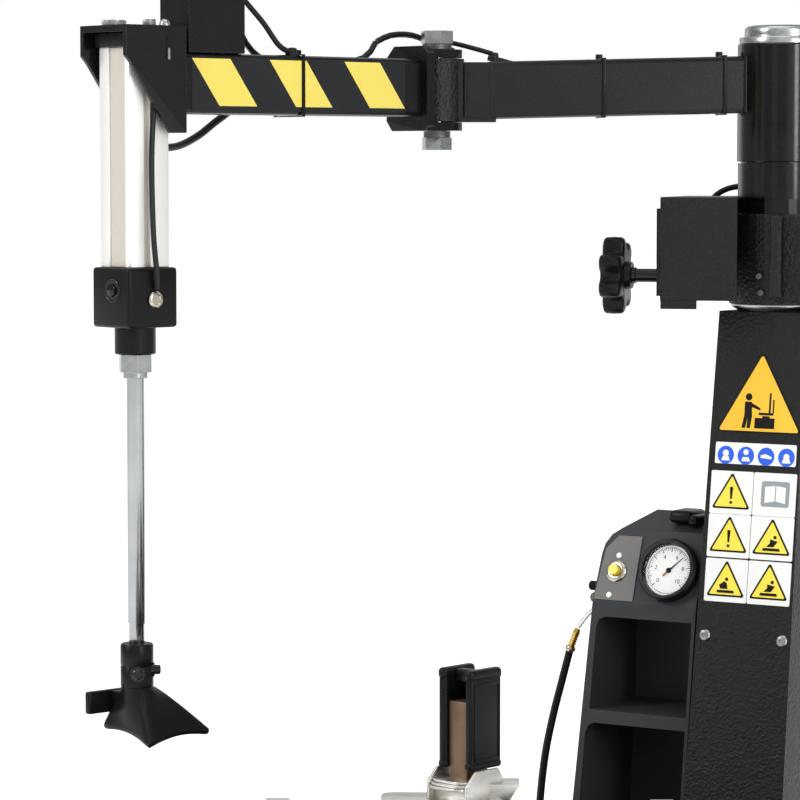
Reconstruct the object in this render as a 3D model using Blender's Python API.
"""Swing-arm tire changer with a jointed press arm, modelled as separate named pieces.

Units are metres, +Z is up, the operator stands at -Y and the origin is on the floor, on the
machine's centre line, behind the turntable's axis. Every moving assembly hangs on an empty that stands on its joint's axis.
"""

import math

import bmesh
import bpy
from mathutils import Matrix, Vector

GAP = 0.0003            # clearance between neighbouring solids
STEEL = 0.003           # sheet and tube wall

# Base and cabinet
BASE_HALF_WIDTH = 0.36
BASE_FRONT = -0.66
BASE_REAR = 0.60
BASE_THICK = 0.010
CABINET_HALF_WIDTH = 0.34
CABINET_FRONT = -0.64
CABINET_REAR = 0.30
CABINET_CHAMFER = 0.08
CABINET_TOP = 0.597
LID_THICK = 0.006

# Column: the front leans back above the cabinet and the sides taper a little
COLUMN_KNEE = 0.60
COLUMN_REAR = 0.545
LEAN = 0.1256
TAPER = 0.0112
FRONT_AT_TOP = 0.4045
HALF_WIDTH_AT_TOP = 0.0601
PLATE_TOP = 1.2612
HEAD_THICK = 0.022

# Post and what turns on it
POST = Vector((0.0, 0.458, 0.0))
POST_RADIUS = 0.052
BORE_RADIUS = 0.0525
SLEEVE_RADIUS = 0.057
SLEEVE_LOW = 1.4453
SLEEVE_HIGH = 1.5904

# Press arm: two 70 x 50 mm tubes joined by an elbow
ELBOW = Vector((-0.343, 0.195, 0.0))
PRESS = Vector((-0.474, -0.252, 0.0))
TUBE_HIGH = 0.070
TUBE_WIDE = 0.050
OUTER_AXIS_Z = 1.535
INNER_AXIS_Z = 1.5418
DROOP = math.radians(1.4)
PIN_RADIUS = 0.012

# Swing arm: parked to the right of the column
SWING_ANGLE = math.radians(16.5)
SWING_REACH = 0.56
HUB_LOW = 1.2700
HUB_HIGH = 1.3815
KNOB_Z = 1.304
KNOB_Y = -0.030
KNOB_RADIUS = 0.0495
HEX_RADIUS = 0.0208

# Turntable and its four jaws
TABLE_Y = -0.300
TABLE_TOP = 0.715
TABLE_THICK = 0.018
TABLE_REACH = 0.305
JAW_ANGLE = math.radians(120.7)
JAW_RADIUS = 0.200
JAW_YAW = math.radians(138.8)
TALL_JAW_TOP = 0.868
LOW_JAW_TOP = 0.765
SLIDE_THICK = 0.014

# Inflation unit on the column's left side
UNIT_LEFT_TOP = -0.2110
UNIT_LEFT_LOW = -0.2290
UNIT_RIGHT = -0.0690
UNIT_LOW = 0.560
UNIT_KNEE = 0.893
UNIT_FRONT_AT_KNEE = 0.3633
PANEL_TILT = math.radians(19.0)
PANEL_HIGH = 0.090
NEEDLE_TURN = math.radians(-45.0)

# Drive inside the cabinet
WORM_Y, WORM_Z = TABLE_Y - 0.060, 0.470
MOTOR_Y, MOTOR_Z = TABLE_Y - 0.120, 0.200
BELT_X = -0.118
BELT_HALF_WIDTH = 0.009

# Bead breaker on the right side
BEAD_Y, BEAD_Z = 0.10, 0.28
BEAD_PIVOT = Vector((0.402, 0.285, 0.0))

# Pedals
PEDAL_Y, PEDAL_Z = -0.550, 0.090
PEDALS = {"pedal_turn": -0.18, "pedal_clamp": -0.07, "pedal_bead": 0.04}

FINISHES = {
    "black_coat": ((0.012, 0.012, 0.013), 0.42, 0.0),
    "textured_coat": ((0.014, 0.014, 0.015), 0.55, 0.0),
    "zinc": ((0.62, 0.63, 0.64), 0.32, 1.0),
    "chrome": ((0.72, 0.73, 0.74), 0.14, 1.0),
    "satin_aluminium": ((0.78, 0.78, 0.77), 0.38, 1.0),
    "black_plastic": ((0.010, 0.010, 0.011), 0.38, 0.0),
    "grey_plastic": ((0.060, 0.060, 0.060), 0.55, 0.0),
    "light_grey_plastic": ((0.20, 0.20, 0.20), 0.5, 0.0),
    "yellow_plastic": ((0.90, 0.70, 0.02), 0.35, 0.0),
    "rubber": ((0.012, 0.012, 0.012), 0.75, 0.0),
    "clear_tube": ((0.75, 0.80, 0.82), 0.2, 0.0),
    "brass": ((0.70, 0.50, 0.16), 0.3, 1.0),
    "plated_steel": ((0.66, 0.65, 0.60), 0.35, 1.0),
    "cast_iron": ((0.10, 0.10, 0.11), 0.6, 0.7),
}


def clear_scene():
    """Remove whatever the file starts with."""
    for obj in list(bpy.data.objects):
        bpy.data.objects.remove(obj, do_unlink=True)


def finish(slot):
    """Return the material of one slot, made once."""
    known = bpy.data.materials.get(slot)
    if known:
        return known
    colour, roughness, metallic = FINISHES[slot]
    made = bpy.data.materials.new(slot)
    made.use_nodes = True
    shader = made.node_tree.nodes["Principled BSDF"]
    shader.inputs["Base Color"].default_value = (*colour, 1.0)
    shader.inputs["Roughness"].default_value = roughness
    shader.inputs["Metallic"].default_value = metallic
    return made


def joint_empty(name, place, turn=0.0, parent=None):
    """Stand an empty on a joint's axis, turned about Z; the place is relative to the parent."""
    empty = bpy.data.objects.new(name, None)
    bpy.context.scene.collection.objects.link(empty)
    empty.parent = parent
    empty.location = place
    empty.rotation_euler = (0.0, 0.0, turn)
    return empty


def piece(name, form, slot, parent=None, place=(0, 0, 0), turn=(0, 0, 0), bevel=0.0):
    """Turn a bmesh into a named object on its parent, with a small edge bevel if asked."""
    bmesh.ops.recalc_face_normals(form, faces=form.faces)
    mesh = bpy.data.meshes.new(name)
    form.to_mesh(mesh)
    form.free()
    mesh.materials.append(finish(slot))
    mesh.shade_smooth()
    mesh.set_sharp_from_angle(angle=math.radians(35))
    obj = bpy.data.objects.new(name, mesh)
    bpy.context.scene.collection.objects.link(obj)
    obj.parent = parent
    obj.location = place
    obj.rotation_euler = turn
    if bevel:
        edge = obj.modifiers.new("edges", "BEVEL")
        edge.width = bevel
        edge.segments = 1
        edge.limit_method = "ANGLE"
        edge.angle_limit = math.radians(60)
    return obj


def block(low, high):
    """A box between two corners."""
    form = bmesh.new()
    bmesh.ops.create_cube(form, size=1.0)
    size = [high[i] - low[i] for i in range(3)]
    middle = [(high[i] + low[i]) / 2 for i in range(3)]
    bmesh.ops.scale(form, vec=size, verts=form.verts)
    bmesh.ops.translate(form, vec=middle, verts=form.verts)
    return form


AXES = {
    "z": Matrix.Identity(3),
    "x": Matrix(((0, 0, 1), (1, 0, 0), (0, 1, 0))),
    "y": Matrix(((1, 0, 0), (0, 0, -1), (0, 1, 0))),
}


def prism(outline, start, end, along="z"):
    """Extrude a flat outline: (x, y) along z, (y, z) along x, or (x, z) from -start to -end along y."""
    form = bmesh.new()
    ring = [form.verts.new((a, b, start)) for a, b in outline]
    face = form.faces.new(ring)
    grown = bmesh.ops.extrude_face_region(form, geom=[face])
    moved = [item for item in grown["geom"] if isinstance(item, bmesh.types.BMVert)]
    bmesh.ops.translate(form, vec=(0, 0, end - start), verts=moved)
    bmesh.ops.transform(form, matrix=AXES[along].to_4x4(), verts=form.verts)
    return form


def slab(outline, low_y, high_y):
    """Extrude an (x, z) outline between two y values."""
    return prism(outline, -low_y, -high_y, "y")


def circle(radius, sides, centre=(0.0, 0.0), phase=0.0):
    """Points of a regular polygon on a circle."""
    steps = [phase + 2 * math.pi * i / sides for i in range(sides)]
    return [(centre[0] + radius * math.cos(a), centre[1] + radius * math.sin(a)) for a in steps]


def round_bar(radius, low, high, centre=(0.0, 0.0), sides=24, along="z"):
    """A solid round bar along an axis."""
    return prism(circle(radius, sides, centre), low, high, along)


def turned(profile, sides=32):
    """Spin a closed (radius, z) profile about Z into one ring-shaped or solid body."""
    form = bmesh.new()
    ring = [form.verts.new((radius, 0.0, z)) for radius, z in profile]
    edges = [form.edges.new((ring[i], ring[(i + 1) % len(ring)])) for i in range(len(ring))]
    bmesh.ops.spin(form, geom=ring + edges, cent=(0, 0, 0), axis=(0, 0, 1),
                   angle=2 * math.pi, steps=sides, use_merge=True)
    bmesh.ops.remove_doubles(form, verts=form.verts, dist=1e-6)
    bmesh.ops.dissolve_degenerate(form, edges=form.edges, dist=1e-6)
    on_axis = [edge for edge in form.edges if not edge.link_faces]
    bmesh.ops.delete(form, geom=on_axis, context="EDGES")
    return form


def rounded(half_x, half_y, radius, steps=3, centre=(0.0, 0.0)):
    """Outline of a rectangle with round corners."""
    points = []
    corners = ((1, 1, 0), (-1, 1, 90), (-1, -1, 180), (1, -1, 270))
    for sign_x, sign_y, start in corners:
        for i in range(steps + 1):
            angle = math.radians(start + 90 * i / steps)
            points.append((centre[0] + sign_x * (half_x - radius) + radius * math.cos(angle),
                           centre[1] + sign_y * (half_y - radius) + radius * math.sin(angle)))
    return points


def tongue(start, radius, centre=(0.0, 0.0), turn=0.0, steps=12):
    """Outline of a straight tongue along X that ends in a half circle round a centre."""
    points = [(start, radius), (start, -radius)]
    for i in range(steps + 1):
        angle = math.radians(-90 + 180 * i / steps)
        points.append((radius * math.cos(angle), radius * math.sin(angle)))
    return [(centre[0] + x * math.cos(turn) - y * math.sin(turn),
             centre[1] + x * math.sin(turn) + y * math.cos(turn)) for x, y in points]


def scratch(form):
    """A temporary object that holds a bmesh for a Boolean."""
    bmesh.ops.recalc_face_normals(form, faces=form.faces)
    mesh = bpy.data.meshes.new("scratch")
    form.to_mesh(mesh)
    form.free()
    obj = bpy.data.objects.new("scratch", mesh)
    bpy.context.scene.collection.objects.link(obj)
    return obj


def combine(form, tools, operation):
    """Join, cut or intersect a bmesh with others through Boolean modifiers, and return the result."""
    body = scratch(form)
    helpers = [scratch(tool) for tool in tools]
    for helper in helpers:
        step = body.modifiers.new(operation.lower(), "BOOLEAN")
        step.operation = operation
        step.solver = "EXACT"
        step.object = helper
    evaluated = body.evaluated_get(bpy.context.evaluated_depsgraph_get())
    made = bpy.data.meshes.new_from_object(evaluated)
    result = bmesh.new()
    result.from_mesh(made)
    bmesh.ops.remove_doubles(result, verts=result.verts, dist=1e-6)
    bmesh.ops.dissolve_limit(result, angle_limit=math.radians(0.1),
                             verts=result.verts, edges=result.edges)
    bpy.data.meshes.remove(made)
    for obj in [body, *helpers]:
        bpy.data.objects.remove(obj, do_unlink=True)
    return result


def join(form, *tools):
    """Weld pieces into one body."""
    return combine(form, tools, "UNION")


def cut(form, *tools):
    """Cut pieces out of a body."""
    return combine(form, tools, "DIFFERENCE")


def curve_points(route, count):
    """Read evenly spaced points from a smooth curve through the route's own points."""
    ends = [2 * route[0] - route[1], *route, 2 * route[-1] - route[-2]]
    fine = []
    for i in range(1, len(ends) - 2):
        a, b, c, d = ends[i - 1:i + 3]
        for k in range(24):
            t = k / 24
            fine.append(0.5 * (2 * b + (c - a) * t + (2 * a - 5 * b + 4 * c - d) * t * t
                               + (3 * b - a - 3 * c + d) * t ** 3))
    fine.append(route[-1])
    lengths = [0.0]
    for i in range(1, len(fine)):
        lengths.append(lengths[-1] + (fine[i] - fine[i - 1]).length)
    points = []
    at = 0
    for i in range(count):
        want = lengths[-1] * i / (count - 1)
        while at < len(lengths) - 2 and lengths[at + 1] < want:
            at += 1
        share = (want - lengths[at]) / (lengths[at + 1] - lengths[at])
        points.append(fine[at].lerp(fine[at + 1], share))
    return points


def hose(name, route, radius, count, slot, parent=None):
    """A round hose along a smooth route, with closed ends."""
    data = bpy.data.curves.new(name, "CURVE")
    data.dimensions = "3D"
    data.bevel_depth = radius
    data.bevel_resolution = 2
    data.use_fill_caps = True
    spline = data.splines.new("POLY")
    points = curve_points([Vector(p) for p in route], count)
    spline.points.add(len(points) - 1)
    for target, point in zip(spline.points, points):
        target.co = (*point, 1.0)
    data.materials.append(finish(slot))
    obj = bpy.data.objects.new(name, data)
    bpy.context.scene.collection.objects.link(obj)
    obj.parent = parent
    return obj


def heading(start, end):
    """Angle about Z of the line from start to end."""
    return math.atan2(end.y - start.y, end.x - start.x)


def half_width(z):
    """The column's half width at a height."""
    return HALF_WIDTH_AT_TOP + TAPER * (PLATE_TOP - max(z, COLUMN_KNEE))


def front_y(z):
    """The column's front face at a height."""
    return FRONT_AT_TOP - LEAN * (PLATE_TOP - max(z, COLUMN_KNEE))


def cabinet_outline(inset=0.0):
    """Plan of the cabinet: a rectangle with its two front corners cut off."""
    side = CABINET_HALF_WIDTH - inset
    front = CABINET_FRONT + inset
    rear = CABINET_REAR - inset
    cut_off = CABINET_CHAMFER - 0.4 * inset
    return [(side, rear), (-side, rear), (-side, front + cut_off), (-side + cut_off, front),
            (side - cut_off, front), (side, front + cut_off)]


def build_base():
    """Floor plate with four anchor holes."""
    outline = [(BASE_HALF_WIDTH, BASE_REAR - 0.1), (0.2, BASE_REAR), (-0.2, BASE_REAR),
               (-BASE_HALF_WIDTH, BASE_REAR - 0.1), (-BASE_HALF_WIDTH, BASE_FRONT + 0.08),
               (-BASE_HALF_WIDTH + 0.08, BASE_FRONT), (BASE_HALF_WIDTH - 0.08, BASE_FRONT),
               (BASE_HALF_WIDTH, BASE_FRONT + 0.08)]
    plate = prism(outline, 0.0, BASE_THICK)
    holes = [round_bar(0.007, -0.01, 0.02, (x, y), 12)
             for x, y in ((-0.32, 0.40), (0.32, 0.40), (-0.15, 0.575), (0.15, 0.575))]
    piece("base_plate", cut(plate, *holes), "black_coat")


def build_cabinet():
    """Sheet cabinet with a pedal slot, its lid and the wheel pad."""
    low = BASE_THICK + GAP
    shell = prism(cabinet_outline(), low, CABINET_TOP)
    hollow = prism(cabinet_outline(STEEL), low - 0.05, CABINET_TOP + 0.05)
    slot = block((-0.25, CABINET_FRONT - 0.05, 0.03), (0.11, CABINET_FRONT + 0.05, 0.16))
    rod_hole = round_bar(0.022, 0.30, 0.40, (BEAD_Y, BEAD_Z), 16, "x")
    piece("cabinet_shell", cut(shell, hollow, slot, rod_hole), "black_coat")
    lid = prism(cabinet_outline(), CABINET_TOP + GAP, CABINET_TOP + GAP + LID_THICK)
    piece("cabinet_lid", cut(lid, round_bar(0.085, 0.5, 0.7, (0.0, TABLE_Y))), "black_coat")
    pad = block((CABINET_HALF_WIDTH + GAP, -0.20, 0.36), (0.362, 0.02, 0.54))
    piece("wheel_pad", pad, "rubber", bevel=0.006)


def column_form(inset, low, high):
    """The column's leaning, tapering box between two heights, moved in by an inset."""
    form = bmesh.new()
    heights = [z for z in (low, COLUMN_KNEE, high) if low <= z <= high]
    rings = []
    for z in heights:
        wide = half_width(z) - inset
        near = front_y(z) + inset
        far = COLUMN_REAR - inset
        plan = ((wide, far), (-wide, far), (-wide, near), (wide, near))
        rings.append([form.verts.new((x, y, z)) for x, y in plan])
    form.faces.new(rings[0])
    form.faces.new(rings[-1])
    for under, over in zip(rings, rings[1:]):
        for i in range(4):
            form.faces.new((under[i], under[(i + 1) % 4], over[(i + 1) % 4], over[i]))
    bmesh.ops.recalc_face_normals(form, faces=form.faces)
    return form


def build_column():
    """Column with its thick head, the fixed post and the post's end cap."""
    low = BASE_THICK + GAP
    hollow = column_form(STEEL + 0.001, low - 0.02, PLATE_TOP - HEAD_THICK)
    hole = round_bar(BORE_RADIUS, 1.1, 1.4, (POST.x, POST.y), 32)
    piece("column", cut(column_form(0.0, low, PLATE_TOP), hollow, hole), "textured_coat")
    wall = 0.006
    tube = turned([(POST_RADIUS, 1.02), (POST_RADIUS, 1.590), (POST_RADIUS - wall, 1.590),
                   (POST_RADIUS - wall, 1.02)])
    piece("post_tube", tube, "black_coat", place=POST)
    cap_low = SLEEVE_HIGH + GAP
    dome = turned([(0.0, cap_low), (0.055, cap_low), (0.055, 1.598), (0.0540, 1.599),
                   (0.0480, 1.599), (0.0488, 1.602), (0.0485, 1.608), (0.0455, 1.6125),
                   (0.0400, 1.6138), (0.0, 1.6138)])
    piece("post_cap", dome, "zinc", place=POST)
    washer = turned([(BORE_RADIUS, PLATE_TOP + GAP), (0.0548, 1.2665), (0.0600, HUB_LOW - GAP),
                     (BORE_RADIUS, HUB_LOW - GAP)])
    piece("thrust_washer", washer, "zinc", place=POST)


def build_drive():
    """Worm gearbox, motor, two pulleys and the belt."""
    case = join(block((-0.075, TABLE_Y - 0.10, 0.410), (0.075, TABLE_Y + 0.085, 0.585)),
                round_bar(0.075, 0.57, 0.640, (0.0, TABLE_Y), 32))
    piece("gearbox", case, "cast_iron", bevel=0.002)
    body = join(round_bar(0.072, -0.08, 0.15, (MOTOR_Y, MOTOR_Z), 24, "x"),
                block((-0.05, MOTOR_Y - 0.06, BASE_THICK + GAP), (0.12, MOTOR_Y + 0.06, 0.15)))
    piece("motor", body, "cast_iron")
    sizes = {"worm_pulley": (WORM_Y, WORM_Z, 0.080, -0.0753),
             "motor_pulley": (MOTOR_Y, MOTOR_Z, 0.032, -0.0803)}
    for name, (y, z, radius, face) in sizes.items():
        axis = joint_empty(f"{name}_axis", (BELT_X, y, z))
        wheel = join(round_bar(radius, -BELT_HALF_WIDTH, BELT_HALF_WIDTH, sides=32, along="x"),
                     round_bar(0.011, 0.0, face - BELT_X, sides=12, along="x"))
        piece(name, wheel, "cast_iron", axis)
    piece("drive_belt", belt_form(sizes), "rubber")


def belt_form(sizes):
    """A flat belt: the ring between an outer and an inner loop around both pulleys."""
    (y0, z0, r0, _), (y1, z1, r1, _) = sizes.values()
    reach = math.hypot(y1 - y0, z1 - z0)
    tilt = math.atan2(z1 - z0, y1 - y0)
    wrap = math.acos((r0 - r1) / reach)
    loops = []
    for extra in (GAP, 0.006):
        loop = []
        for y, z, radius, start, sweep in ((y0, z0, r0, tilt + wrap, 2 * math.pi - 2 * wrap),
                                           (y1, z1, r1, tilt - wrap, 2 * wrap)):
            for i in range(13):
                angle = start + sweep * i / 12
                grown = (radius + extra) / math.cos(sweep / 24)
                loop.append((y + grown * math.cos(angle), z + grown * math.sin(angle)))
        loops.append(loop)
    outer = prism(loops[1], BELT_X - BELT_HALF_WIDTH, BELT_X + BELT_HALF_WIDTH, "x")
    inner = prism(loops[0], BELT_X - 0.05, BELT_X + 0.05, "x")
    return cut(outer, inner)


def spider_outline(disc=0.125, half=0.034, corner=0.028):
    """Plan of the turntable: a disc with four arms, each with round corners at its end."""
    points = []
    spread = math.asin(half / disc)
    for i in range(4):
        turn = JAW_ANGLE + i * math.pi / 2
        arm = [(math.sqrt(disc ** 2 - half ** 2), -half)]
        for sign, start in ((-1, -90), (1, 0)):
            for k in range(4):
                angle = math.radians(start + 30 * k)
                arm.append((TABLE_REACH - corner + corner * math.cos(angle),
                            sign * (half - corner) + corner * math.sin(angle)))
        arm.append((math.sqrt(disc ** 2 - half ** 2), half))
        rim = [(disc * math.cos(a), disc * math.sin(a))
               for a in (spread + (math.pi / 2 - 2 * spread) * k / 6 for k in range(1, 6))]
        for x, y in arm + rim:
            points.append((x * math.cos(turn) - y * math.sin(turn),
                           x * math.sin(turn) + y * math.cos(turn)))
    return points


def jaw_form(tall):
    """One jaw: its slide plate with a tall turned post on a cross plate, or with a low stepped hook."""
    low = TABLE_TOP + GAP
    top = low + SLIDE_THICK
    plate = prism(rounded(0.0500, 0.030, 0.010, 2), low, top)
    if not tall:
        hook = slab([(-0.030, top - 0.002), (0.034, top - 0.002), (0.034, LOW_JAW_TOP - 0.016),
                     (0.022, LOW_JAW_TOP - 0.010), (0.018, LOW_JAW_TOP), (-0.006, LOW_JAW_TOP),
                     (-0.030, top + 0.010)], -0.016, 0.016)
        return join(plate, hook)
    cross = prism(rounded(0.026, 0.078, 0.014, 2, (0.0, 0.022)), top - 0.001, top + 0.0105)
    post = prism(rounded(0.013, 0.022, 0.003, 1), top, TALL_JAW_TOP)
    bmesh.ops.rotate(post, cent=(0, 0, 0), matrix=Matrix.Rotation(JAW_YAW, 3, "Z"), verts=post.verts)
    return join(plate, cross, post)


def build_turntable():
    """Turntable spider with its shaft, and four jaws on radial slides."""
    axis = joint_empty("turntable_axis", (0, TABLE_Y, 0))
    low = TABLE_TOP - TABLE_THICK
    spider = join(prism(spider_outline(), low, TABLE_TOP), round_bar(0.052, 0.6403, low + 0.004))
    piece("turntable", spider, "plated_steel", axis)
    for i in range(4):
        angle = JAW_ANGLE + i * math.pi / 2
        place = (JAW_RADIUS * math.cos(angle), JAW_RADIUS * math.sin(angle), 0.0)
        jaw_axis = joint_empty(f"jaw_{i + 1}_axis", place, angle, axis)
        piece(f"jaw_{i + 1}", jaw_form(i == 0), "plated_steel", jaw_axis)


def build_bead_breaker():
    """Bead-breaker cylinder, rod, hinge, arm and blade on the right side."""
    bore = round_bar(0.0130, 0.06, 0.40, (BEAD_Y, BEAD_Z), 16, "x")
    barrel = round_bar(0.085, 0.03, 0.30, (BEAD_Y, BEAD_Z), 24, "x")
    piece("bead_cylinder", cut(barrel, bore), "cast_iron")
    rod_axis = joint_empty("bead_rod_axis", (0.34, BEAD_Y, BEAD_Z))
    rod = join(round_bar(0.0125, -0.14, 0.155, sides=16, along="x"),
               round_bar(0.024, 0.125, 0.150, sides=6, along="x"))
    piece("bead_rod", rod, "chrome", rod_axis)
    wall = CABINET_HALF_WIDTH + GAP
    plate = block((wall, 0.235, 0.155), (wall + 0.012, 0.298, 0.405))
    reach = wall + 0.005 - BEAD_PIVOT.x
    ears = [prism(tongue(reach, 0.024, BEAD_PIVOT.xy), z, z + 0.018) for z in (0.166, 0.376)]
    pin = round_bar(0.014, 0.170, 0.390, BEAD_PIVOT.xy, 20)
    piece("bead_hinge", join(plate, *ears, pin), "black_coat")
    arm_axis = joint_empty("bead_arm_axis", BEAD_PIVOT)
    low, high = 0.1853, 0.3747
    barrel = round_bar(0.025, low, high, sides=20)
    beam = block((-0.012, -0.47, 0.235), (0.028, 0.0, 0.325))
    bore = round_bar(0.0145, low - 0.02, high + 0.02, sides=20)
    slot = block((-0.05, BEAD_Y - BEAD_PIVOT.y - 0.066, BEAD_Z - 0.016),
                 (0.06, BEAD_Y - BEAD_PIVOT.y + 0.050, BEAD_Z + 0.016))
    outline = [(-0.57, 0.20), (-0.55, 0.17), (-0.47, 0.16), (-0.39, 0.17), (-0.37, 0.20),
               (-0.37, 0.36), (-0.39, 0.39), (-0.47, 0.40), (-0.55, 0.39), (-0.57, 0.36)]
    blade = prism(outline, -0.0240, -0.0100, "x")
    piece("bead_arm", cut(join(barrel, beam, blade), bore, slot), "black_coat", arm_axis)


def build_pedals():
    """Pedal axle on its two brackets and three foot pedals."""
    ends = (-0.235, 0.095)
    rod = round_bar(0.008, ends[0], ends[1], (PEDAL_Y, PEDAL_Z), 16, "x")
    feet = [block((x - 0.004, PEDAL_Y - 0.02, BASE_THICK + GAP), (x + 0.004, PEDAL_Y + 0.02, 0.110))
            for x in ends]
    piece("pedal_axle", join(rod, *feet), "zinc")
    for name, x in PEDALS.items():
        axis = joint_empty(f"{name}_axis", (x, PEDAL_Y, PEDAL_Z))
        boss = round_bar(0.016, -0.016, 0.016, sides=16, along="x")
        lever = slab([(-0.011, -0.008), (0.011, -0.008), (0.011, 0.008), (-0.011, 0.008)], -0.175, 0.0)
        tread = block((-0.035, -0.215, -0.006), (0.035, -0.150, 0.010))
        bore = round_bar(0.0084, -0.05, 0.05, sides=16, along="x")
        piece(name, cut(join(boss, lever, tread), bore), "black_coat", axis)


def panel_point(across, up, out=0.0):
    """A point on the inflation unit's tilted panel: x, distance up the slope, distance out of it."""
    y = UNIT_FRONT_AT_KNEE + up * math.sin(PANEL_TILT) - out * math.cos(PANEL_TILT)
    z = UNIT_KNEE + up * math.cos(PANEL_TILT) + out * math.sin(PANEL_TILT)
    return Vector((across, y, z))


def unit_front(z):
    """The inflation unit's lower front at a height."""
    return UNIT_FRONT_AT_KNEE - LEAN * (UNIT_KNEE - z)


def unit_left(z):
    """The inflation unit's left side at a height."""
    share = (z - UNIT_LOW) / (1.0 - UNIT_LOW)
    return UNIT_LEFT_LOW + (UNIT_LEFT_TOP - UNIT_LEFT_LOW) * share


def build_unit():
    """Moulded inflation unit with two shelves, its panel, gauge and push button."""
    brow = panel_point(0.0, PANEL_HIGH / math.cos(PANEL_TILT))
    side = [(unit_front(UNIT_LOW), UNIT_LOW), (0.500, UNIT_LOW), (0.500, 0.990), (0.455, 1.003),
            (brow.y, brow.z), (UNIT_FRONT_AT_KNEE, UNIT_KNEE)]
    body = prism(side, -0.30, UNIT_RIGHT, "x")
    radius = 0.034
    top = 1.02
    corner = [(unit_left(0.96) + radius - radius * math.cos(math.radians(a)),
               brow.z - radius + 0.002 + radius * math.sin(math.radians(a))) for a in (0, 22, 45, 68)]
    front = [(0.0, UNIT_LOW - 0.1), (unit_left(UNIT_LOW - 0.1), UNIT_LOW - 0.1), *corner,
             (unit_left(0.96) + radius + 0.024, top), (0.0, top)]
    body = combine(body, [slab(front, 0.25, 0.60)], "INTERSECT")
    shelves = []
    for low, high in ((0.7575, 0.8740), (0.610, 0.7410)):
        inner = unit_left(low) + 0.011
        outline = [(inner, low), (UNIT_RIGHT - 0.005, low), (UNIT_RIGHT - 0.005, high),
                   (inner + 0.014, high), (inner + 0.006, high - 0.004), (inner + 0.002, high - 0.014)]
        shelves.append(slab(outline, 0.20, 0.470))
    behind_panel = block((-0.198, 0.430, 0.890), (-0.080, 0.530, 0.975))
    piece("unit_housing", cut(body, *shelves, behind_panel), "grey_plastic")
    tilt = (math.pi / 2 - PANEL_TILT, 0.0, 0.0)
    left, right = unit_left(0.91) + 0.0015, -0.158
    plate = prism([(left, 0.0), (right, 0.0), (right, 0.084), (left + 0.022, 0.084),
                   (left + 0.006, 0.066)], GAP, 0.0018)
    piece("button_panel", plate, "light_grey_plastic", place=panel_point(0.0, 0.002), turn=tilt)
    button_axis = joint_empty("button_axis", panel_point(-0.1868, 0.0395))
    cap = round_bar(0.0066, 0.0045, 0.0125, sides=24)
    piece("push_button", cap, "yellow_plastic", button_axis, turn=tilt)
    dial = panel_point(-0.1110, 0.044)
    case = turned([(0.0, GAP), (0.037, GAP), (0.040, 0.004), (0.040, 0.013), (0.0375, 0.016),
                   (0.0335, 0.016), (0.0325, 0.0060), (0.0, 0.0060)], 36)
    piece("gauge_case", case, "black_plastic", place=dial, turn=tilt)
    needle_axis = joint_empty("needle_axis", dial)
    outline = [(-0.0014, -0.010), (0.0014, -0.010), (0.0018, 0.0), (0.0005, 0.024), (-0.0005, 0.024),
               (-0.0018, 0.0)]
    needle = prism(outline, 0.0070, 0.0078)
    bmesh.ops.rotate(needle, cent=(0, 0, 0), matrix=Matrix.Rotation(NEEDLE_TURN, 3, "Z"), verts=needle.verts)
    piece("gauge_needle", needle, "black_plastic", needle_axis, turn=tilt)


def build_air_line():
    """Clear tube, brass barb and the air hose that returns into the cabinet's rear wall."""
    hose("clear_tube", [(-0.2195, 0.414, 0.887), (-0.2300, 0.410, 0.882), (-0.2440, 0.404, 0.868),
                        (-0.2555, 0.400, 0.8520)], 0.0028, 10, "clear_tube")
    low = Vector((-0.2680, 0.400, 0.8210))
    high = Vector((-0.2563, 0.400, 0.8500))
    axis = high - low
    barb = turned([(0.0, 0.0), (0.0058, 0.0), (0.0058, 0.006), (0.0040, 0.007), (0.0040, axis.length),
                   (0.0, axis.length)], 12)
    tilt = axis.to_track_quat("Z", "Y").to_euler()
    piece("hose_barb", barb, "brass", place=low, turn=tilt)
    start = low - axis.normalized() * 0.001
    hose("air_hose", [start, (-0.2785, 0.400, 0.7842), (-0.2930, 0.400, 0.7320), (-0.3041, 0.400, 0.6808),
                      (-0.3114, 0.400, 0.6200), (-0.3120, 0.397, 0.5600), (-0.3080, 0.382, 0.5130),
                      (-0.3040, 0.356, 0.4850), (-0.3030, 0.325, 0.4780), (-0.3030, 0.3015, 0.4780)],
         0.0052, 36, "rubber")


def tube_form(start, end, wide, high, wall=STEEL):
    """Rectangular tube along X, centred on the axis."""
    outer = prism(rounded(wide / 2, high / 2, 0.006, 2), start, end, "x")
    inner = prism(rounded(wide / 2 - wall, high / 2 - wall, 0.003, 1), start - 0.05, end + 0.05, "x")
    return cut(outer, inner)


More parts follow.
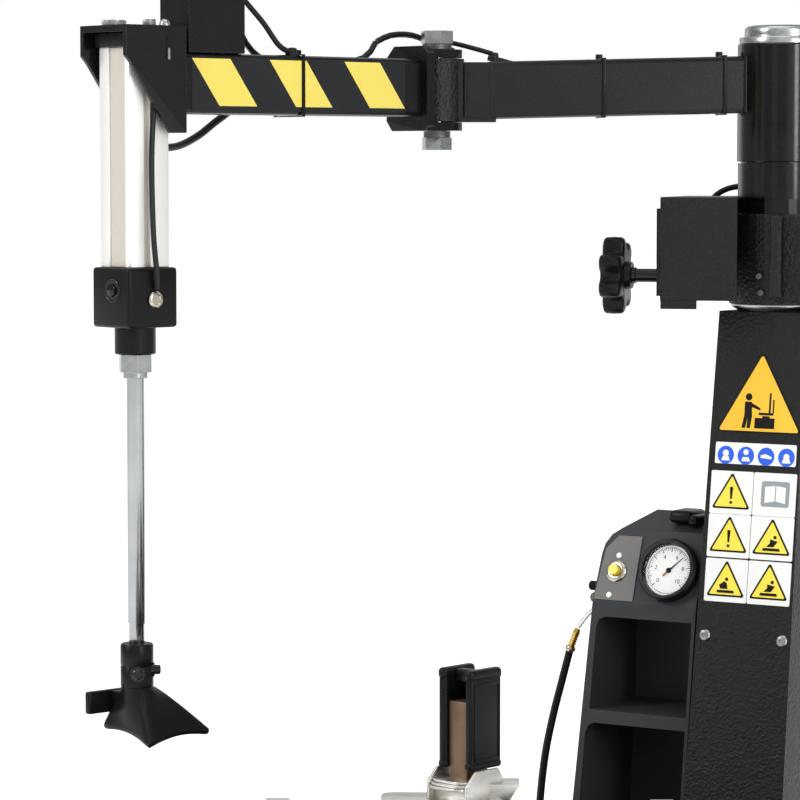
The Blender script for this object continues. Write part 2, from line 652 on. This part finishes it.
def build_inner_arm():
    """Sleeve on the post, the drooping inner tube and the elbow barrel at its end."""
    reach = (ELBOW - POST).length
    axis = joint_empty("inner_arm_axis", POST, heading(ELBOW, POST))
    sleeve = turned([(SLEEVE_RADIUS, SLEEVE_LOW), (SLEEVE_RADIUS, SLEEVE_HIGH), (BORE_RADIUS, SLEEVE_HIGH),
                     (BORE_RADIUS, SLEEVE_LOW)])
    piece("post_sleeve", sleeve, "black_coat", axis)
    start = -reach + 0.0624
    tube = tube_form(start, -0.030, TUBE_WIDE, TUBE_HIGH)
    tube = cut(tube, round_bar(SLEEVE_RADIUS + 0.0016, -0.2, 0.2, sides=32))
    droop = Matrix.Translation((0, 0, INNER_AXIS_Z)) @ Matrix.Rotation(-DROOP, 4, "Y")
    bmesh.ops.transform(tube, matrix=droop, verts=tube.verts)
    barrel = round_bar(0.033, 1.4955, 1.5705, (-reach, 0.0), 28)
    adapter = block((-reach + 0.015, -0.024, 1.5000), (start + 0.001, 0.024, 1.5670))
    foot = block((-reach + 0.012, -0.022, 1.4940), (start + 0.008, 0.022, 1.5010))
    bore = round_bar(PIN_RADIUS + GAP, 1.4, 1.7, (-reach, 0.0), 20)
    piece("inner_arm", cut(join(tube, barrel, adapter, foot), bore), "black_coat", axis)
    return axis, reach


def build_outer_arm(inner_axis, reach):
    """Elbow clevis and bolt, outer tube, bracket, valve box and press cylinder."""
    turn = heading(PRESS, ELBOW) - heading(ELBOW, POST)
    axis = joint_empty("outer_arm_axis", (-reach, 0, 0), turn, inner_axis)
    length = (PRESS - ELBOW).length
    plate_x = -0.0474
    plate = slab([(-0.040, 1.495), (-0.030, 1.483), (0.028, 1.483), (0.034, 1.490), (0.034, 1.577),
                  (0.026, 1.586), (-0.026, 1.586), (-0.040, 1.572)], 0.0, 0.0129)
    bmesh.ops.rotate(plate, cent=(0, 0, 0), matrix=Matrix.Rotation(-math.pi / 2, 3, "Z"), verts=plate.verts)
    bmesh.ops.translate(plate, vec=(plate_x, 0, 0), verts=plate.verts)
    ears = [prism(tongue(plate_x + 0.006, 0.031), low, low + 0.010) for low in (1.4835, 1.5725)]
    bore = round_bar(PIN_RADIUS + GAP, 1.4, 1.7, sides=20)
    piece("elbow_clevis", cut(join(plate, *ears), bore), "black_coat", axis)
    head = round_bar(0.0205, 1.5897, 1.6055, sides=6)
    nut = round_bar(0.0190, 1.4600, 1.4750, sides=6)
    piece("elbow_bolt", join(round_bar(PIN_RADIUS, 1.470, 1.595, sides=20), head, nut), "zinc", axis)
    tube = tube_form(-length + 0.0428, plate_x - GAP, TUBE_WIDE, TUBE_HIGH)
    piece("outer_arm", tube, "black_coat", axis, (0, 0, OUTER_AXIS_Z))
    press_axis = joint_empty("press_axis", (-length, 0, 0), 0.0, axis)
    build_press(press_axis)


def build_press(axis):
    """Everything around the press cylinder, in its own frame: X runs along the outer arm."""
    half = 0.0435
    plate = block((-0.0437, -half, 1.5914), (0.0425, half, 1.5993))
    end = block((0.0345, -half, 1.4782), (0.0425, half, 1.5950))
    outline = [(-0.0437, 1.5643), (-0.0360, 1.5560), (0.0190, 1.4782), (0.0425, 1.4782),
               (0.0425, 1.5950), (-0.0437, 1.5950)]
    cheeks = [slab(outline, -half, -half + 0.006), slab(outline, half - 0.006, half)]
    piece("press_bracket", join(plate, end, *cheeks), "black_coat", axis)
    profile = prism(rounded(0.029, 0.029, 0.004, 2), 1.3261, 1.5911)
    piece("press_barrel", cut(profile, round_bar(0.025, 1.2, 1.7, sides=28)), "satin_aluminium", axis)
    head = join(prism(rounded(0.033, 0.033, 0.006, 2), 1.2572, 1.3258),
                round_bar(0.0235, 1.2264, 1.27, sides=28))
    piece("press_head", cut(head, round_bar(0.0108, 1.1, 1.5, sides=24)), "black_plastic", axis)
    gland = join(round_bar(0.0200, 1.2057, 1.2261, sides=6), round_bar(0.0140, 1.1989, 1.21, sides=24))
    piece("gland_nut", cut(gland, round_bar(0.0108, 1.1, 1.5, sides=24)), "zinc", axis)
    hose("press_hose", [(0.0050, -0.0333, 1.560), (0.0035, -0.0333, 1.520), (0.0010, -0.0333, 1.484),
                        (-0.0015, -0.0345, 1.450), (-0.0035, -0.0375, 1.410), (-0.0035, -0.0400, 1.360),
                        (-0.0005, -0.0415, 1.320), (0.0010, -0.0395, 1.3015)], 0.0032, 22, "rubber", axis)
    low = OUTER_AXIS_Z + TUBE_HIGH / 2 + GAP
    box = block((0.0603, -0.025, low), (0.1425, 0.029, 1.790))
    inside = block((0.0623, -0.023, low - 0.01), (0.1405, 0.027, 1.788))
    piece("valve_box", cut(box, inside), "black_coat", axis)
    lever_axis = joint_empty("valve_lever_axis", (0.1015, -0.0253, 1.700), 0.0, axis)
    stem = join(round_bar(0.0045, 0.0015, 0.055, sides=12, along="y"),
                round_bar(0.011, 0.050, 0.085, sides=16, along="y"))
    piece("valve_lever", stem, "black_plastic", lever_axis)
    rod_axis = joint_empty("press_rod_axis", (0, 0, 0), 0.0, axis)
    build_press_rod(rod_axis)


def build_press_rod(axis):
    """Piston rod, the clamped collar and the flared pressing foot."""
    rod = turned([(0.0, 0.862), (0.0092, 0.862), (0.0092, 0.9156), (0.0103, 0.9170), (0.0103, 1.335),
                  (0.0246, 1.335), (0.0246, 1.355), (0.0, 1.355)], 24)
    piece("piston_rod", rod, "chrome", axis)
    collar = turned([(0.0095, 0.8440), (0.0190, 0.8440), (0.0190, 0.8920), (0.0175, 0.8936),
                     (0.0095, 0.8936)], 24)
    piece("foot_collar", collar, "black_plastic", axis)
    foot = foot_form()
    lug = prism(rounded(0.036, 0.011, 0.006, 2, (-0.042, 0.010)), 0.808, 0.834)
    piece("press_foot", join(foot, lug), "black_plastic", axis)


def foot_form():
    """A four-sided flared foot: a small top ring, a waist and a wide drooping lower edge."""
    form = bmesh.new()
    corners = ((-0.018, -0.0444, 0.7705), (0.0735, -0.0444, 0.7860), (0.0735, 0.0444, 0.7900),
               (-0.018, 0.0444, 0.7920))
    rings = []
    for share, drop in ((0.0, 0.0), (0.30, 0.62), (0.62, 0.86), (1.0, 1.0)):
        ring = []
        for i, (x, y, z) in enumerate(corners):
            start = Vector((math.copysign(0.016, x + 1e-9), math.copysign(0.016, y), 0.8437))
            spot = start.lerp(Vector((x, y, z)), share)
            spot.z = 0.8437 + (z - 0.8437) * drop
            ring.append(form.verts.new(spot))
        rings.append(ring)
    under = [form.verts.new((v.co.x * 0.9, v.co.y * 0.9, v.co.z - 0.004)) for v in rings[-1]]
    rings.append(under)
    form.faces.new(rings[0])
    form.faces.new(under)
    for upper, lower in zip(rings, rings[1:]):
        for i in range(4):
            form.faces.new((upper[i], upper[(i + 1) % 4], lower[(i + 1) % 4], lower[i]))
    bmesh.ops.triangulate(form, faces=form.faces)
    bmesh.ops.recalc_face_normals(form, faces=form.faces)
    return form


def build_swing_arm():
    """Swing arm on the post: hub, beam, shaft guide, tail cover, knob, hex shaft and head."""
    axis = joint_empty("swing_arm_axis", POST, SWING_ANGLE)
    ring = round_bar(0.066, HUB_LOW, HUB_HIGH, sides=36)
    root = block((0.0, -0.072, 1.2760), (0.110, 0.072, HUB_HIGH - 0.002))
    pocket = block((0.070, -0.050, 1.2900), (0.150, 0.050, 1.3680))
    bore = round_bar(BORE_RADIUS, 1.1, 1.5, sides=32)
    piece("swing_hub", cut(join(ring, root), bore, pocket), "textured_coat", axis)
    guide_low, guide_high = 1.240, 1.425
    beam = tube_form(0.110 + GAP, SWING_REACH - 0.0380, 0.090, 0.090, 0.005)
    bmesh.ops.translate(beam, vec=(0, 0, 1.3290), verts=beam.verts)
    guide = prism(rounded(0.040, 0.040, 0.008, 2, (SWING_REACH, 0.0)), guide_low, guide_high)
    hex_hole = prism(circle(HEX_RADIUS + 0.0005, 6, (SWING_REACH, 0.0)), 1.1, 1.6)
    piece("swing_beam", cut(join(beam, guide), hex_hole), "textured_coat", axis)
    cover = block((-0.1371, -0.090, 1.2755), (-0.0415, 0.090, 1.4024))
    lip = block((-0.1365, -0.0895, 1.2649), (-0.0915, -0.0865, 1.2800))
    inside = block((-0.1346, -0.0875, 1.20), (0.10, 0.0875, 1.3999))
    around = round_bar(0.0665, 1.10, 1.50, sides=32)
    plate = block((-0.1455, -0.070, 1.2800), (-0.1360, 0.055, 1.3880))
    hole = round_bar(0.0092, -0.3, 0.0, (KNOB_Y, KNOB_Z), 16, "x")
    piece("tail_cover", cut(join(cover, lip, plate), inside, around, hole), "textured_coat", axis)
    knob_axis = joint_empty("knob_axis", (-0.1455, KNOB_Y, KNOB_Z), 0.0, axis)
    piece("star_knob", knob_form(), "black_plastic", knob_axis)
    build_hex_shaft(axis, guide_high)


def knob_form():
    """Seven-lobed hand knob with its spindle, turning about X."""
    lobes = 7
    count = lobes * 8
    outline = []
    for i in range(count):
        angle = 2 * math.pi * i / count
        radius = KNOB_RADIUS * (0.90 + 0.10 * math.cos(lobes * angle))
        outline.append((radius * math.cos(angle), radius * math.sin(angle)))
    head = prism(outline, -0.0692, -0.0458, "x")
    spindle = round_bar(0.0087, -0.060, 0.0350, sides=16, along="x")
    return join(head, spindle)


def build_hex_shaft(axis, guide_high):
    """Vertical hex shaft, the mount head on its foot and the lock lever over the guide."""
    shaft_axis = joint_empty("hex_shaft_axis", (SWING_REACH, 0, 0), 0.0, axis)
    piece("hex_shaft", prism(circle(HEX_RADIUS, 6), 1.020, 1.720), "chrome", shaft_axis)
    block_low = 0.960
    boss = round_bar(0.030, block_low, 1.0197, sides=20)
    outline = [(-0.030, -0.020), (0.020, -0.026), (0.075, -0.018), (0.095, 0.004), (0.070, 0.020),
               (0.020, 0.026), (-0.030, 0.020)]
    beak = prism(outline, block_low - 0.022, block_low + 0.012)
    piece("mount_head", join(boss, beak), "plated_steel", shaft_axis)
    lock_axis = joint_empty("lock_lever_axis", (SWING_REACH, 0, 0), 0.0, axis)
    collar = round_bar(0.034, guide_high + GAP, guide_high + 0.022, sides=24)
    handle = block((-0.010, -0.150, guide_high + 0.004), (0.010, -0.02, guide_high + 0.018))
    hole = round_bar(0.0245, 1.3, 1.6, sides=24)
    piece("lock_lever", cut(join(collar, handle), hole), "black_plastic", lock_axis)


def build_arm_hoses():
    """The air hoses that the press arm carries from the post to the valve box."""
    reach = (ELBOW - POST).length
    inner = bpy.data.objects["inner_arm_axis"]
    outer = bpy.data.objects["outer_arm_axis"]
    length = (PRESS - ELBOW).length
    behind = TUBE_WIDE / 2 + 0.0045
    hose("hose_outer", [(-length + 0.1510, 0.012, 1.700), (-length + 0.1530, 0.013, 1.640),
                        (-length + 0.1750, 0.020, 1.592), (-length + 0.2150, behind, 1.566),
                        (-length + 0.2700, behind, 1.558), (-length + 0.3700, behind + 0.004, 1.570),
                        (-0.066, behind + 0.010, 1.5905)], 0.0038, 24, "rubber", outer)
    hose("hose_elbow", [(-0.0640, behind + 0.0095, 1.5920), (-0.045, behind + 0.006, 1.600),
                        (-0.015, behind + 0.002, 1.6010), (0.020, behind, 1.592),
                        (0.050, behind - 0.004, 1.583)], 0.0038, 12, "rubber", outer)
    hose("hose_inner", [(-reach + 0.067, behind + 0.006, 1.5745), (-reach + 0.120, behind + 0.002, 1.562),
                        (-reach + 0.200, behind + 0.001, 1.556), (-0.150, behind + 0.001, 1.556),
                        (-0.110, behind + 0.0005, 1.556)], 0.0038, 22, "rubber", inner)


def main():
    """Build every assembly."""
    clear_scene()
    build_base()
    build_cabinet()
    build_column()
    build_drive()
    build_turntable()
    build_bead_breaker()
    build_pedals()
    build_unit()
    build_air_line()
    inner_axis, reach = build_inner_arm()
    build_outer_arm(inner_axis, reach)
    build_swing_arm()
    build_arm_hoses()


main()
